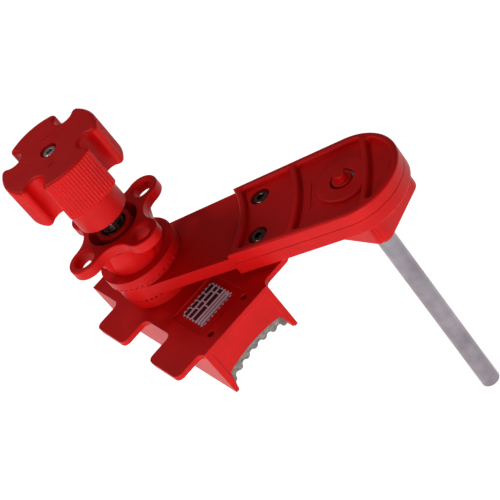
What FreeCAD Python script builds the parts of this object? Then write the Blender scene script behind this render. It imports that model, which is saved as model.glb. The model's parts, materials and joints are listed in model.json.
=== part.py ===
import FreeCAD, Part
import math
import os
import Sketcher
from FreeCAD import Placement, Rotation, Vector

# A clamp-on valve lockout with a blocking arm, in millimetres.
# The Z axis is the spindle, pointing up to the knob, and z = 0 is the top of the
# clamp's base plate. X runs along the base to its toothed end and Y runs across it.

doc = FreeCAD.newDocument("valve_lockout")
sheet = doc.addObject("Spreadsheet::Sheet", "Dim")
nodes = {}

DIMENSIONS = [
    # clamp body
    ("rear_reach", 39), ("front_reach", 68.7), ("half_width", 22.7), ("plate_thick", 3),
    ("wall_thick", 2.6), ("wall_depth", 30.2), ("end_wall_thick", 3), ("arch_depth", 17.2),
    ("arch_side_depth", 19.5), ("arch_half_chord", 18), ("horn_gap_half", 21),
    ("left_finger_length", 16.5), ("right_finger_length", 19), ("finger_round", 3.5),
    ("finger_width", 26.6), ("rear_finger_start", -12.4), ("front_finger_start", 38.4),
    ("boss_radius", 19.6), ("boss_height", 6), ("tube_radius", 9.8), ("tube_top", 43),
    ("tube_bore", 7.4), ("recess_start", 30.4), ("recess_end", 58.2), ("recess_half", 15),
    ("recess_depth", 0.6), ("label_start", 33.4), ("label_end", 53.5), ("label_half", 11.6),
    ("label_thick", 0.3), ("access_place", 61.5), ("access_half", 12), ("access_radius", 1.9),
    ("border", 3.4), ("panel_step", 0.6),
    # seam notches on the boss and the collar
    ("notch_count", 40), ("notch_width", 1.3), ("notch_height", 1.1), ("notch_reach", 1.6),
    ("notch_turn", 1.6),
    # thread insert and spindle
    ("insert_radius", 8.9), ("insert_bottom", -2.8), ("insert_top", 12),
    ("spindle_radius", 5.9), ("spindle_bore", 6), ("spindle_top", 91), ("journal_radius", 4),
    ("tap_radius", 1.6), ("tap_deep", 9), ("clip_radius", 6.6), ("clip_thick", 1.2),
    ("clip_mouth_half", 2.4), ("clip_level", 0.9), ("clip_room", 0.6), ("clip_room_deep", 2.4),
    # moving jaw
    ("jaw_rear", -27.6), ("jaw_front", 63.4), ("jaw_half", 19.2), ("jaw_top", -5.4),
    ("jaw_bottom", -16), ("tooth_thick", 1.6), ("tooth_pitch", 6.13), ("tooth_curve", 1.806),
    ("tooth_leg", 7.4), ("tooth_arch_rise", 4), ("tooth_tip", -24), ("tooth_height", 1.7),
    ("jaw_tooth_end", 0.18), ("screw_radius", 1.5), ("screw_head", 2.7), ("screw_head_high", 1.2),
    ("screw_long", 6),
    # fixed jaw
    ("spine_thick", 6), ("spine_half", 12.3), ("fixed_top", -58), ("fixed_bottom", -66),
    ("fixed_front", 3), ("spine_screw_half", 9), ("spine_screw_low", -12), ("foot_screw_half", 8),
    ("foot_tooth_end", 0), ("foot_tooth_rise", 4.2), ("spine_rib_half", 2), ("spine_rib_long", 13.2),
    # collar
    ("collar_radius", 21.4), ("collar_bottom", 16.1), ("disc_top", 22.1), ("cup_low_radius", 15.9),
    ("cup_high_radius", 17.6), ("swell_place", 13.5), ("ear_bottom", 37.4), ("ear_top", 43.4),
    ("ear_place", 23.1),
    ("ear_radius", 9), ("ear_hole", 5.2), ("ear_chamfer", 1), ("ear_round", 0.8),
    ("cup_bore", 14.2), ("cup_floor", 24), ("collar_bore", 9.86), ("valley_place", 29.7),
    ("swell_low", 2.3), ("swell_high", 8), ("ear_hole_run", 8.5), ("ear_turn", 7.4),
    # knob
    ("lobe_count", 4), ("knob_radius", 27.4), ("knob_bottom", 73.5), ("knob_top", 98),
    ("groove_place", 22.8), ("groove_half", 5), ("knob_turn", 35.2), ("skirt_radius", 13.7),
    ("skirt_bore", 10.4), ("skirt_bottom", 52.5), ("skirt_roof", 64), ("counterbore", 4.6),
    ("counterbore_floor", 92), ("lobe_round", 2.5), ("top_round", 1.8), ("rib_count", 16),
    ("rib_radius", 0.9), ("rib_place", 27.95), ("rib_step", 3.5), ("knob_screw_radius", 1.6),
    ("knob_screw_head", 3.7), ("knob_screw_top", 97.2), ("knob_screw_socket", 1.7),
    ("knob_screw_socket_deep", 2.4), ("knob_screw_hole", 2),
    # raised arrows on the knob and the housing
    ("arrow_high", 0.4), ("arrow_wide", 1.1), ("arrow_head_half", 1.7), ("arrow_head_long", 3.2),
    ("knob_arrow_radius", 12), ("back_arrow_start", 66.8), ("back_arrow_end", 131.8),
    ("front_arrow_start", -140.2), ("front_arrow_end", -56.2), ("case_arrow_radius", 94.8),
    ("case_arrow_half", 6.2),
    # arm
    ("arm_angle", 46.4), ("arm_length", 115.5), ("hub_radius", 20), ("lever_near_radius", 19.8),
    ("lever_end_radius", 27.2), ("case_start_radius", 20.6), ("case_end_radius", 27.8),
    ("lever_space_bottom", 6.7), ("lever_bottom", 7), ("lever_top", 14.2), ("hub_bottom", 6.1),
    ("hub_top", 16), ("hub_bore", 10), ("case_bottom", 2.9), ("case_top", 17.1),
    ("case_rim", 3.6), ("case_near", 56.4), ("rib_wide", 3.4), ("second_rib", 86.5),
    ("third_rib", 124.2), ("case_gap", 0.15), ("end_gap", 0.3), ("case_round", 0.9), ("rim_round", 1.2),
    ("corner_round", 1.5),
    ("case_tongue", 86.3), ("seam_level", 10.2), ("seam_wide", 0.45), ("seam_deep", 0.3),
    ("pivot_place", 113), ("ring_radius", 14.5), ("ring_top", 16.2), ("ring_round", 1), ("ring_bore", 5.3),
    ("ring_counterbore", 6.6), ("ring_shoulder", 13.2), ("bolt_place", 66), ("bolt_half", 13.5),
    ("bolt_recess", 5.3), ("bolt_recess_floor", 10.2), ("bolt_head", 5), ("bolt_head_high", 3.6),
    ("bolt_head_round", 1), ("bolt_radius", 2.5), ("bolt_hole", 2.7), ("bolt_socket", 2.2),
    ("bolt_socket_deep", 2), ("nut_radius", 4.3), ("nut_high", 2.2), ("nut_room", 4.6),
    # rod carrier and rod, laid out from the pivot with the rod on the X axis
    ("nose_x", 30.9), ("nose_y", -1.6), ("left_x", -2.95), ("left_y", -22.9), ("tail_x", -28.3),
    ("tail_y", 8.05), ("right_x", 5.6), ("right_y", 29.35), ("carrier_round", 6.4),
    ("carrier_soft", 1.2), ("carrier_top", 2.7), ("carrier_bottom", -9.3), ("carrier_angle", -18.6),
    ("pivot_radius", 5.2), ("pivot_top", 16.6), ("pivot_groove", 4.3), ("button_radius", 3.1),
    ("button_top", 20), ("button_round", 0.5), ("snap_ring_inner", 4.35), ("snap_ring_outer", 6.3),
    ("snap_ring_lift", 0.15), ("snap_ring_thick", 1.2), ("snap_ring_mouth", 3.6),
    ("rod_place", 21.33), ("rod_radius", 5), ("rod_socket", 5.02), ("rod_top", 1.2),
    ("rod_bottom", -127.5), ("rod_chamfer", 0.8), ("nose_groove", 1.6), ("nose_groove_x", 27.57),
    ("nose_groove_y", -2.9),
]


def fill_sheet():
    for row, (alias, value) in enumerate(DIMENSIONS, start=1):
        cell = "B%d" % row
        sheet.set("A%d" % row, alias)
        sheet.set(cell, str(value))
        sheet.setAlias(cell, alias)
    doc.recompute()


def dim(alias):
    return float(getattr(sheet, alias))


def value_of(formula):
    result = sheet.evalExpression(str(formula))
    return float(getattr(result, "Value", result))


def bind(item, **formulas):
    for prop, formula in formulas.items():
        item.setExpression(prop, str(formula))


def move_to(item, x=0, y=0, z=0):
    for axis, formula in (("x", x), ("y", y), ("z", z)):
        item.setExpression("Placement.Base." + axis, str(formula))


def box(name, x_range, y_range, z_range):
    """A box between pairs of formulas along X, Y and Z."""
    item = doc.addObject("Part::Box", name)
    spans = ["(%s) - (%s)" % (high, low) for low, high in (x_range, y_range, z_range)]
    bind(item, Length=spans[0], Width=spans[1], Height=spans[2])
    move_to(item, x_range[0], y_range[0], z_range[0])
    return item


def cylinder(name, radius, z_range, x=0, y=0):
    item = doc.addObject("Part::Cylinder", name)
    bind(item, Radius=radius, Height="(%s) - (%s)" % (z_range[1], z_range[0]))
    move_to(item, x, y, z_range[0])
    return item


def cylinder_along_x(name, radius, x_range, y, z):
    item = doc.addObject("Part::Cylinder", name)
    item.Placement = Placement(Vector(), Rotation(Vector(0, 1, 0), 90))
    bind(item, Radius=radius, Height="(%s) - (%s)" % (x_range[1], x_range[0]))
    move_to(item, x_range[0], y, z)
    return item


def cone(name, low_radius, high_radius, z_range, x=0, y=0):
    item = doc.addObject("Part::Cone", name)
    bind(item, Radius1=low_radius, Radius2=high_radius,
         Height="(%s) - (%s)" % (z_range[1], z_range[0]))
    move_to(item, x, y, z_range[0])
    return item


def fuse(name, *pieces):
    item = doc.addObject("Part::MultiFuse", name)
    item.Shapes = list(pieces)
    item.Refine = True
    return item


def cut(name, base, *tools):
    item = doc.addObject("Part::Cut", name)
    item.Base = base
    item.Tool = tools[0] if len(tools) == 1 else fuse(name + "_tools", *tools)
    item.Refine = True
    return item


def common(name, first, second):
    item = doc.addObject("Part::MultiCommon", name)
    item.Shapes = [first, second]
    item.Refine = True
    return item


def round_edges(name, base, radius, wanted):
    """Fillet the base's edges that the test picks out, all with one radius."""
    doc.recompute()
    item = doc.addObject("Part::Fillet", name)
    item.Base = base
    size = value_of(radius)
    chosen = [n for n, edge in enumerate(base.Shape.Edges, start=1) if wanted(edge)]
    if not chosen:
        raise ValueError("no edges to round on " + name)
    item.Edges = [(n, size, size) for n in chosen]
    return item


def is_upright(edge):
    if edge.Curve.TypeId != "Part::GeomLine":
        return False
    return abs(edge.tangentAt(edge.FirstParameter).z) > 0.999


def ring_copies(name, original, count, start=0, step=None):
    """Copies of one tool turned about the Z axis, joined in a single shape."""
    doc.recompute()
    turn = 360.0 / count if step is None else step
    item = doc.addObject("Part::Feature", name)
    copies = []
    for number in range(count):
        copy = original.Shape.copy()
        copy.rotate(Vector(), Vector(0, 0, 1), start + number * turn)
        copies.append(copy)
    item.Shape = Part.makeCompound(copies)
    return item


def origin_plane(body, role):
    return [plane for plane in body.Origin.OriginFeatures if plane.Role == role][0]


def outline(body, name, role, corners, offset=0):
    """A closed sketch from corners (x, y), (x, y, radius) or (x, y, radius, "wide").
    A radius bends the edge that leaves its corner: to the left of its direction if positive,
    to the right if negative. A wide arc is the longer way round its circle."""
    sketch = body.newObject("Sketcher::SketchObject", name)
    sketch.AttachmentSupport = [(origin_plane(body, role), "")]
    sketch.MapMode = "FlatFace"
    sketch.setExpression("AttachmentOffset.Base.z", str(offset))
    points = [Vector(value_of(c[0]), value_of(c[1]), 0) for c in corners]
    count = len(corners)
    for n, corner in enumerate(corners):
        start = points[n]
        end = points[(n + 1) % count]
        if len(corner) == 2:
            sketch.addGeometry(Part.LineSegment(start, end), False)
            continue
        middle = arc_middle(start, end, value_of(corner[2]), len(corner) > 3)
        sketch.addGeometry(Part.Arc(start, middle, end), False)
    arc_start = {}
    for n, corner in enumerate(corners):
        # A clockwise arc is stored the other way round, so its start is its second point.
        first = 1
        if len(corner) > 2 and value_of(corner[2]) > 0:
            first = 2
        arc_start[n] = first
    for n, corner in enumerate(corners):
        after = (n + 1) % count
        sketch.addConstraint(Sketcher.Constraint("Coincident", n, 3 - arc_start[n],
                                                 after, arc_start[after]))
        for kind, formula, size in (("DistanceX", corner[0], points[n].x),
                                    ("DistanceY", corner[1], points[n].y)):
            number = sketch.addConstraint(Sketcher.Constraint(kind, -1, 1, n, arc_start[n], size))
            sketch.setExpression("Constraints[%d]" % number, str(formula))
        if len(corner) > 2:
            number = sketch.addConstraint(Sketcher.Constraint("Radius", n,
                                                              abs(value_of(corner[2]))))
            sketch.setExpression("Constraints[%d]" % number, "abs(%s)" % corner[2])
    return sketch


def arc_middle(start, end, radius, wide):
    """The middle point of an arc from start to end."""
    chord = end - start
    half = chord.Length / 2
    rise = abs(radius) - math.sqrt(max(radius * radius - half * half, 0))
    if wide:
        rise = 2 * abs(radius) - rise
    left = Vector(-chord.y, chord.x, 0).normalize()
    return (start + end) * 0.5 + left * (rise if radius > 0 else -rise)


def pad(body, sketch, length, down=False):
    item = body.newObject("PartDesign::Pad", body.Name + "_pad")
    item.Profile = sketch
    item.Reversed = down
    bind(item, Length=length)
    return item


def hull(name, near_radius, far_radius, z_range):
    """A slab round two circles, the near one on the Z axis and the far one along X."""
    body = doc.addObject("PartDesign::Body", name)
    lean = "((%s) - (%s)) / Dim.arm_length" % (near_radius, far_radius)
    rise = "sqrt(1 - (%s)^2)" % lean
    near_x = "(%s) * %s" % (near_radius, lean)
    near_y = "(%s) * %s" % (near_radius, rise)
    far_x = "Dim.arm_length + (%s) * %s" % (far_radius, lean)
    far_y = "(%s) * %s" % (far_radius, rise)
    corners = [(near_x, "0 - " + near_y), (far_x, "0 - " + far_y, "0 - (%s)" % far_radius, "wide"),
               (far_x, far_y), (near_x, near_y, "0 - (%s)" % near_radius)]
    sketch = outline(body, name + "_outline", "XY_Plane", corners, z_range[0])
    pad(body, sketch, "(%s) - (%s)" % (z_range[1], z_range[0]))
    return body


def curved_arrow(name, radius, start, end, level, both_ways=False):
    """A raised arrow bent round the Z axis from one angle to another, in degrees, with a head
    at its end, or a head at each end."""
    way = 1 if value_of(end) > value_of(start) else -1
    inner = "(%s) - Dim.arrow_wide / 2" % radius
    outer = "(%s) + Dim.arrow_wide / 2" % radius
    barb_in = "(%s) - Dim.arrow_head_half" % radius
    barb_out = "(%s) + Dim.arrow_head_half" % radius
    head = "Dim.arrow_head_long / (%s) * 180 / pi" % radius

    def at(distance, angle, *bend):
        turn = "((%s) * 1 deg)" % angle
        return ("(%s) * cos%s" % (distance, turn), "(%s) * sin%s" % (distance, turn)) + bend

    neck_end = "(%s) - %d * (%s)" % (end, way, head)
    neck_start = "(%s) + (%s)" % (start, head) if both_ways else start
    corners = [at(inner, neck_start, "%d * (%s)" % (-way, inner)), at(inner, neck_end),
               at(barb_in, neck_end), at(radius, end), at(barb_out, neck_end),
               at(outer, neck_end, "%d * (%s)" % (way, outer)), at(outer, neck_start)]
    if both_ways:
        corners += [at(barb_out, neck_start), at(radius, start), at(barb_in, neck_start)]
    body = doc.addObject("PartDesign::Body", name)
    sketch = outline(body, name + "_outline", "XY_Plane", corners, "(%s) - 0.5" % level)
    pad(body, sketch, "Dim.arrow_high + 0.5")
    return body


def keep(item, node, x=0, y=0, z=0, angle=0):
    """Make an object a sub-part: its Label is the node's name and its Placement sets its pose."""
    item.Label = node
    item.Placement = Placement(Vector(), Rotation(Vector(0, 0, 1), value_of(angle)))
    if angle != 0:
        item.setExpression("Placement.Rotation.Angle", "(%s) * 1 deg" % angle)
    move_to(item, x, y, z)
    nodes[node] = item
    return item


# Base -----------------------------------------------------------------------------------------

def finger(name, start, side):
    """One of the flat fingers that stand out from the base plate's long sides."""
    x_range = (start, "%s + Dim.finger_width" % start)
    y_range = ("0 - Dim.half_width - Dim.left_finger_length", "1 - Dim.half_width")
    if side > 0:
        y_range = ("Dim.half_width - 1", "Dim.half_width + Dim.right_finger_length")
    return box(name, x_range, y_range, ("0 - Dim.plate_thick", "0"))


def base_plate():
    plate = box("plate", ("0 - Dim.rear_reach", "Dim.front_reach"),
                ("0 - Dim.half_width", "Dim.half_width"), ("0 - Dim.plate_thick", "0"))
    fingers = []
    for side in (-1, 1):
        for place in ("rear", "front"):
            name = "finger_%s_%s" % (place, "left" if side < 0 else "right")
            fingers.append(finger(name, "Dim.%s_finger_start" % place, side))
    joined = fuse("plate_and_fingers", plate, *fingers)
    long_side = dim("half_width")

    def on_finger(edge):
        return is_upright(edge) and abs(edge.CenterOfMass.x) < dim("front_reach") - 1 \
            and edge.CenterOfMass.x > 1 - dim("rear_reach") and abs(edge.CenterOfMass.y) > long_side - 1

    return round_edges("rounded_plate", joined, "Dim.finger_round", on_finger)


def end_wall():
    """The wall at the toothed end: an arch between two horns, with a raised border."""
    inner = "Dim.front_reach - Dim.end_wall_thick"
    wall = box("front_wall", (inner, "Dim.front_reach"), ("0 - Dim.half_width", "Dim.half_width"),
               ("0 - Dim.wall_depth", "0"))
    body = doc.addObject("PartDesign::Body", "arch")
    low = "0 - Dim.wall_depth - 1"
    chord = "Dim.arch_half_chord"
    sagitta = "(Dim.arch_side_depth - Dim.arch_depth)"
    radius = "(%s^2 + %s^2) / (2 * %s)" % (chord, sagitta, sagitta)
    corners = [("0 - Dim.horn_gap_half", low), ("Dim.horn_gap_half", low),
               (chord, "0 - Dim.arch_side_depth", "0 - " + radius),
               ("0 - " + chord, "0 - Dim.arch_side_depth")]
    sketch = outline(body, "arch_outline", "YZ_Plane", corners, inner + " - 1")
    pad(body, sketch, "Dim.end_wall_thick + 2")
    panel = box("front_panel", ("Dim.front_reach - Dim.panel_step", "Dim.front_reach + 1"),
                ("Dim.border - Dim.half_width", "Dim.half_width - Dim.border"),
                ("0 - Dim.wall_depth", "0 - Dim.border"))
    return cut("front_wall_arched", wall, body, panel)


def side_walls():
    walls = []
    for side, name in ((-1, "left_wall"), (1, "right_wall")):
        y_range = ("0 - Dim.half_width", "Dim.wall_thick - Dim.half_width")
        if side > 0:
            y_range = ("Dim.half_width - Dim.wall_thick", "Dim.half_width")
        walls.append(box(name, ("0 - Dim.rear_reach", "Dim.front_reach - 1"), y_range,
                         ("0 - Dim.wall_depth", "-1")))
    walls.append(box("rear_wall", ("0 - Dim.rear_reach", "Dim.end_wall_thick - Dim.rear_reach"),
                     ("0 - Dim.half_width", "Dim.half_width"), ("0 - Dim.wall_depth", "-1")))
    return walls


def seam_notches(name, radius, z_low):
    """Small notches all round a seam, where the teeth of the two faces meet."""
    notch = box(name + "_one", ("%s - Dim.notch_reach" % radius, "%s + 1" % radius),
                ("0 - Dim.notch_width / 2", "Dim.notch_width / 2"),
                (z_low, "%s + Dim.notch_height" % z_low))
    return ring_copies(name, notch, int(dim("notch_count")), start=dim("notch_turn"))


def clamp_body():
    boss = cylinder("boss", "Dim.boss_radius", ("0 - Dim.plate_thick", "Dim.boss_height"))
    tube = cylinder("tube", "Dim.tube_radius", ("0 - Dim.plate_thick", "Dim.tube_top"))
    solid = fuse("body_solid", base_plate(), end_wall(), boss, tube, *side_walls())
    bore = cylinder("tube_hole", "Dim.tube_bore", ("Dim.insert_top - 1", "Dim.tube_top + 1"))
    seat = cylinder("insert_hole", "Dim.insert_radius", ("0 - Dim.plate_thick - 1", "Dim.insert_top"))
    recess = box("label_recess", ("Dim.recess_start", "Dim.recess_end"),
                 ("0 - Dim.recess_half", "Dim.recess_half"), ("0 - Dim.recess_depth", "1"))
    holes = []
    for side, name in ((-1, "access_left"), (1, "access_right")):
        holes.append(cylinder(name, "Dim.access_radius", ("0 - Dim.plate_thick - 1", "1"),
                              "Dim.access_place", "%d * Dim.access_half" % side))
        holes.append(cylinder_along_x("spine_hole_" + name, "Dim.screw_radius",
                                      ("0 - Dim.rear_reach - 1", "Dim.end_wall_thick - Dim.rear_reach + 1"),
                                      "%d * Dim.spine_screw_half" % side, "Dim.spine_screw_low"))
    notches = seam_notches("boss_notches", "Dim.boss_radius", "Dim.boss_height - Dim.notch_height")
    keep(cut("clamp_body_shape", solid, bore, seat, recess, notches, *holes), "clamp_body")


def label():
    plate = box("label_plate", ("Dim.label_start", "Dim.label_end"),
                ("0 - Dim.label_half", "Dim.label_half"),
                ("0 - Dim.recess_depth", "Dim.label_thick - Dim.recess_depth"))
    plate.Label = "label"
    nodes["label"] = plate


def thread_insert():
    barrel = cylinder("insert_barrel", "Dim.insert_radius", ("Dim.insert_bottom", "Dim.insert_top"))
    bore = cylinder("insert_bore", "Dim.spindle_bore", ("Dim.insert_bottom - 1", "Dim.insert_top + 1"))
    keep(cut("thread_insert_shape", barrel, bore), "thread_insert")


# Jaws -----------------------------------------------------------------------------------------

def toothed_plate(node, leg_way, screw_half, depth, teeth, past_end, up=False):
    """An angle of steel: a flat leg under two screws, and an upright blade whose edge is a wave
    of rounded teeth along an arch. The leg runs along X in the given way, 1 or -1. The teeth are
    numbered from minus to plus the given count, the depth is from the leg's face to the middle
    tooth's tip, and the last tooth runs a part of the pitch past its tip."""
    sign = "1" if up else "-1"
    x_back = "0" if leg_way < 0 else "0 - Dim.tooth_thick"
    leg_range = ("0 - Dim.tooth_leg", "0.5") if leg_way < 0 else ("-0.5", "Dim.tooth_leg")
    places = [quarter / 4 for quarter in range(-4 * teeth - 1, 4 * teeth + 2, 2)][1:-1]
    end = "(%d + %s)" % (teeth, past_end)
    tip_rise = "(sqrt(Dim.tooth_curve^2 - (%s * Dim.tooth_pitch)^2) - Dim.tooth_curve)" % past_end
    middle_level = "(%s) - Dim.tooth_height / 2 + Dim.tooth_arch_rise * (%s / 3)^2"
    end_level = "%s * ((%s) + %s + Dim.tooth_arch_rise * (%s / 3)^2)" % (sign, depth, tip_rise, end)
    half = "%s * Dim.tooth_pitch" % end
    corners = [("0 - " + half, "0"), ("0 - " + half, end_level, sign + " * Dim.tooth_curve")]
    for n, place in enumerate(places):
        bend = "%s * Dim.tooth_curve" % (sign if n % 2 else "-1 * " + sign)
        level = "%s * (%s)" % (sign, middle_level % (depth, place))
        corners.append(("Dim.tooth_pitch * %s" % place, level, bend))
    corners += [(half, end_level), (half, "0")]
    body = doc.addObject("PartDesign::Body", node + "_blade")
    sketch = outline(body, node + "_outline", "YZ_Plane", corners, x_back)
    pad(body, sketch, "Dim.tooth_thick")
    thick = ("0", "Dim.tooth_thick") if up else ("0 - Dim.tooth_thick", "0")
    leg = box(node + "_leg", leg_range, ("0 - " + half, half), thick)
    holes = []
    for side in (-1, 1):
        holes.append(cylinder("%s_hole_%d" % (node, side + 1), "Dim.screw_radius",
                              ("0 - Dim.tooth_thick - 1", "Dim.tooth_thick + 1"),
                              "%d * Dim.tooth_leg / 2" % leg_way, "%d * %s" % (side, screw_half)))
    return cut(node + "_shape", fuse(node + "_solid", body, leg), *holes)


def screw_row(node, x_places, half, z_level, down=True):
    """Screws in pairs across the jaw that hold the toothed plates."""
    pieces = []
    for n, x in enumerate(x_places):
        for side in (-1, 1):
            y = "%d * %s" % (side, half)
            name = "%s_%d_%d" % (node, n, side + 1)
            head = ("%s" % z_level, "%s + Dim.screw_head_high" % z_level)
            shank = ("%s - Dim.screw_long" % z_level, "%s + 0.1" % z_level)
            if not down:
                head = ("%s - Dim.screw_head_high" % z_level, "%s" % z_level)
                shank = ("%s - 0.1" % z_level, "%s + Dim.screw_long" % z_level)
            pieces.append(cylinder(name + "_head", "Dim.screw_head", head, x, y))
            pieces.append(cylinder(name + "_shank", "Dim.screw_radius", shank, x, y))
    return fuse(node + "_shape", *pieces)


def moving_jaw():
    """The red bar that the spindle pushes down, with a toothed plate on each end."""
    leg = "Dim.tooth_leg"
    bar = box("jaw_bar", ("Dim.jaw_rear", "Dim.jaw_front"), ("0 - Dim.jaw_half", "Dim.jaw_half"),
              ("Dim.jaw_bottom", "Dim.jaw_top"))
    seats = []
    places = (("front", "Dim.jaw_front - %s" % leg, "Dim.jaw_front + 1"),
              ("rear", "Dim.jaw_rear - 1", "Dim.jaw_rear + %s" % leg))
    for name, low, high in places:
        seats.append(box("jaw_seat_" + name, (low, high), ("0 - Dim.jaw_half - 1", "Dim.jaw_half + 1"),
                         ("Dim.jaw_top - Dim.tooth_thick", "Dim.jaw_top + 1")))
    leg_middles = ("Dim.jaw_front - %s / 2" % leg, "Dim.jaw_rear + %s / 2" % leg)
    for n, x in enumerate(leg_middles):
        for side in (-1, 1):
            seats.append(cylinder("jaw_tap_%d_%d" % (n, side + 1), "Dim.screw_radius",
                                  ("Dim.jaw_top - Dim.screw_long - 0.2", "Dim.jaw_top + 1"),
                                  x, "%d * Dim.access_half" % side))
    seats.append(cylinder("jaw_journal_hole", "Dim.journal_radius + 0.1",
                          ("Dim.jaw_bottom - 1", "Dim.jaw_top + 1")))
    seats.append(cylinder("jaw_clip_hole", "Dim.clip_radius + Dim.clip_room",
                          ("Dim.jaw_bottom - 1", "Dim.jaw_bottom + Dim.clip_room_deep")))
    keep(cut("jaw_carrier_shape", bar, *seats), "jaw_carrier")
    depth = "Dim.jaw_top - Dim.tooth_tip"
    front = toothed_plate("front_jaw_plate", -1, "Dim.access_half", depth, 3, "Dim.jaw_tooth_end")
    keep(front, "front_jaw_plate", x="Dim.jaw_front", z="Dim.jaw_top")
    rear = toothed_plate("rear_jaw_plate", 1, "Dim.access_half", depth, 3, "Dim.jaw_tooth_end")
    keep(rear, "rear_jaw_plate", x="Dim.jaw_rear", z="Dim.jaw_top")
    keep(screw_row("jaw_plate_screws", leg_middles, "Dim.access_half", "Dim.jaw_top"),
         "jaw_plate_screws")


def fixed_jaw():
    """The L-shaped jaw below the body: a spine down the rear wall, and a flat foot."""
    back = "Dim.end_wall_thick - Dim.rear_reach + 0.1"
    spine = box("fixed_spine", (back, "%s + Dim.spine_thick" % back),
                ("0 - Dim.spine_half", "Dim.spine_half"),
                ("Dim.fixed_bottom", "0 - Dim.plate_thick - 0.1"))
    foot = box("fixed_foot", (back, "Dim.fixed_front"), ("0 - Dim.spine_half", "Dim.spine_half"),
               ("Dim.fixed_bottom", "Dim.fixed_top"))
    rib = box("fixed_rib", (back, "%s + Dim.spine_rib_long" % back),
              ("0 - Dim.spine_rib_half", "Dim.spine_rib_half"),
              ("Dim.fixed_bottom", "Dim.fixed_top + Dim.spine_thick"))
    seat = box("fixed_seat", ("Dim.fixed_front - Dim.tooth_leg", "Dim.fixed_front + 1"),
               ("0 - Dim.spine_half - 1", "Dim.spine_half + 1"),
               ("Dim.fixed_bottom - 1", "Dim.fixed_bottom + Dim.tooth_thick"))
    taps = []
    for side in (-1, 1):
        taps.append(cylinder("foot_tap_%d" % (side + 1), "Dim.screw_radius",
                             ("Dim.fixed_bottom - 1", "Dim.fixed_bottom + Dim.screw_long + 0.2"),
                             "Dim.fixed_front - Dim.tooth_leg / 2", "%d * Dim.foot_screw_half" % side))
        taps.append(cylinder_along_x("spine_tap_%d" % (side + 1), "Dim.screw_radius",
                                     (back + " - 1", "%s + Dim.spine_thick + 1" % back),
                                     "%d * Dim.spine_screw_half" % side, "Dim.spine_screw_low"))
    keep(cut("fixed_jaw_shape", fuse("fixed_solid", spine, foot, rib), seat, *taps), "fixed_jaw")
    plate = toothed_plate("fixed_jaw_plate", -1, "Dim.foot_screw_half",
                          "Dim.fixed_top - Dim.fixed_bottom + Dim.foot_tooth_rise", 2,
                          "Dim.foot_tooth_end", up=True)
    keep(plate, "fixed_jaw_plate", x="Dim.fixed_front", z="Dim.fixed_bottom")
    keep(screw_row("foot_screws", ["Dim.fixed_front - Dim.tooth_leg / 2"], "Dim.foot_screw_half",
                   "Dim.fixed_bottom", down=False), "foot_screws")
    pieces = []
    outside = "0 - Dim.rear_reach"
    for side in (-1, 1):
        y = "%d * Dim.spine_screw_half" % side
        pieces.append(cylinder_along_x("spine_head_%d" % (side + 1), "Dim.screw_head",
                                       (outside + " - Dim.screw_head_high", outside),
                                       y, "Dim.spine_screw_low"))
        pieces.append(cylinder_along_x("spine_shank_%d" % (side + 1), "Dim.screw_radius",
                                       (outside + " - 0.1",
                                        outside + " + Dim.end_wall_thick + Dim.spine_thick - 1"),
                                       y, "Dim.spine_screw_low"))
    keep(fuse("spine_screws_shape", *pieces), "spine_screws")


# Spindle and knob -----------------------------------------------------------------------------

def spindle():
    screw = cylinder("spindle_screw", "Dim.spindle_radius", ("Dim.jaw_top + 0.1", "Dim.spindle_top"))
    journal = cylinder("spindle_journal", "Dim.journal_radius",
                       ("Dim.jaw_bottom + 0.4", "Dim.jaw_top + 0.2"))
    tap = cylinder("spindle_tap", "Dim.tap_radius",
                   ("Dim.spindle_top - Dim.tap_deep", "Dim.spindle_top + 1"))
    keep(cut("spindle_shape", fuse("spindle_solid", screw, journal), tap), "spindle")
    low = "Dim.jaw_bottom + Dim.clip_level"
    clip = cylinder("clip_disc", "Dim.clip_radius", (low, low + " + Dim.clip_thick"))
    through = ("Dim.jaw_bottom", "Dim.jaw_bottom + Dim.clip_room_deep")
    hole = cylinder("clip_hole", "Dim.journal_radius", through)
    mouth = box("clip_mouth", ("0", "Dim.clip_radius + 1"),
                ("0 - Dim.clip_mouth_half", "Dim.clip_mouth_half"), through)
    keep(cut("spindle_clip_shape", clip, hole, mouth), "spindle_clip")


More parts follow.
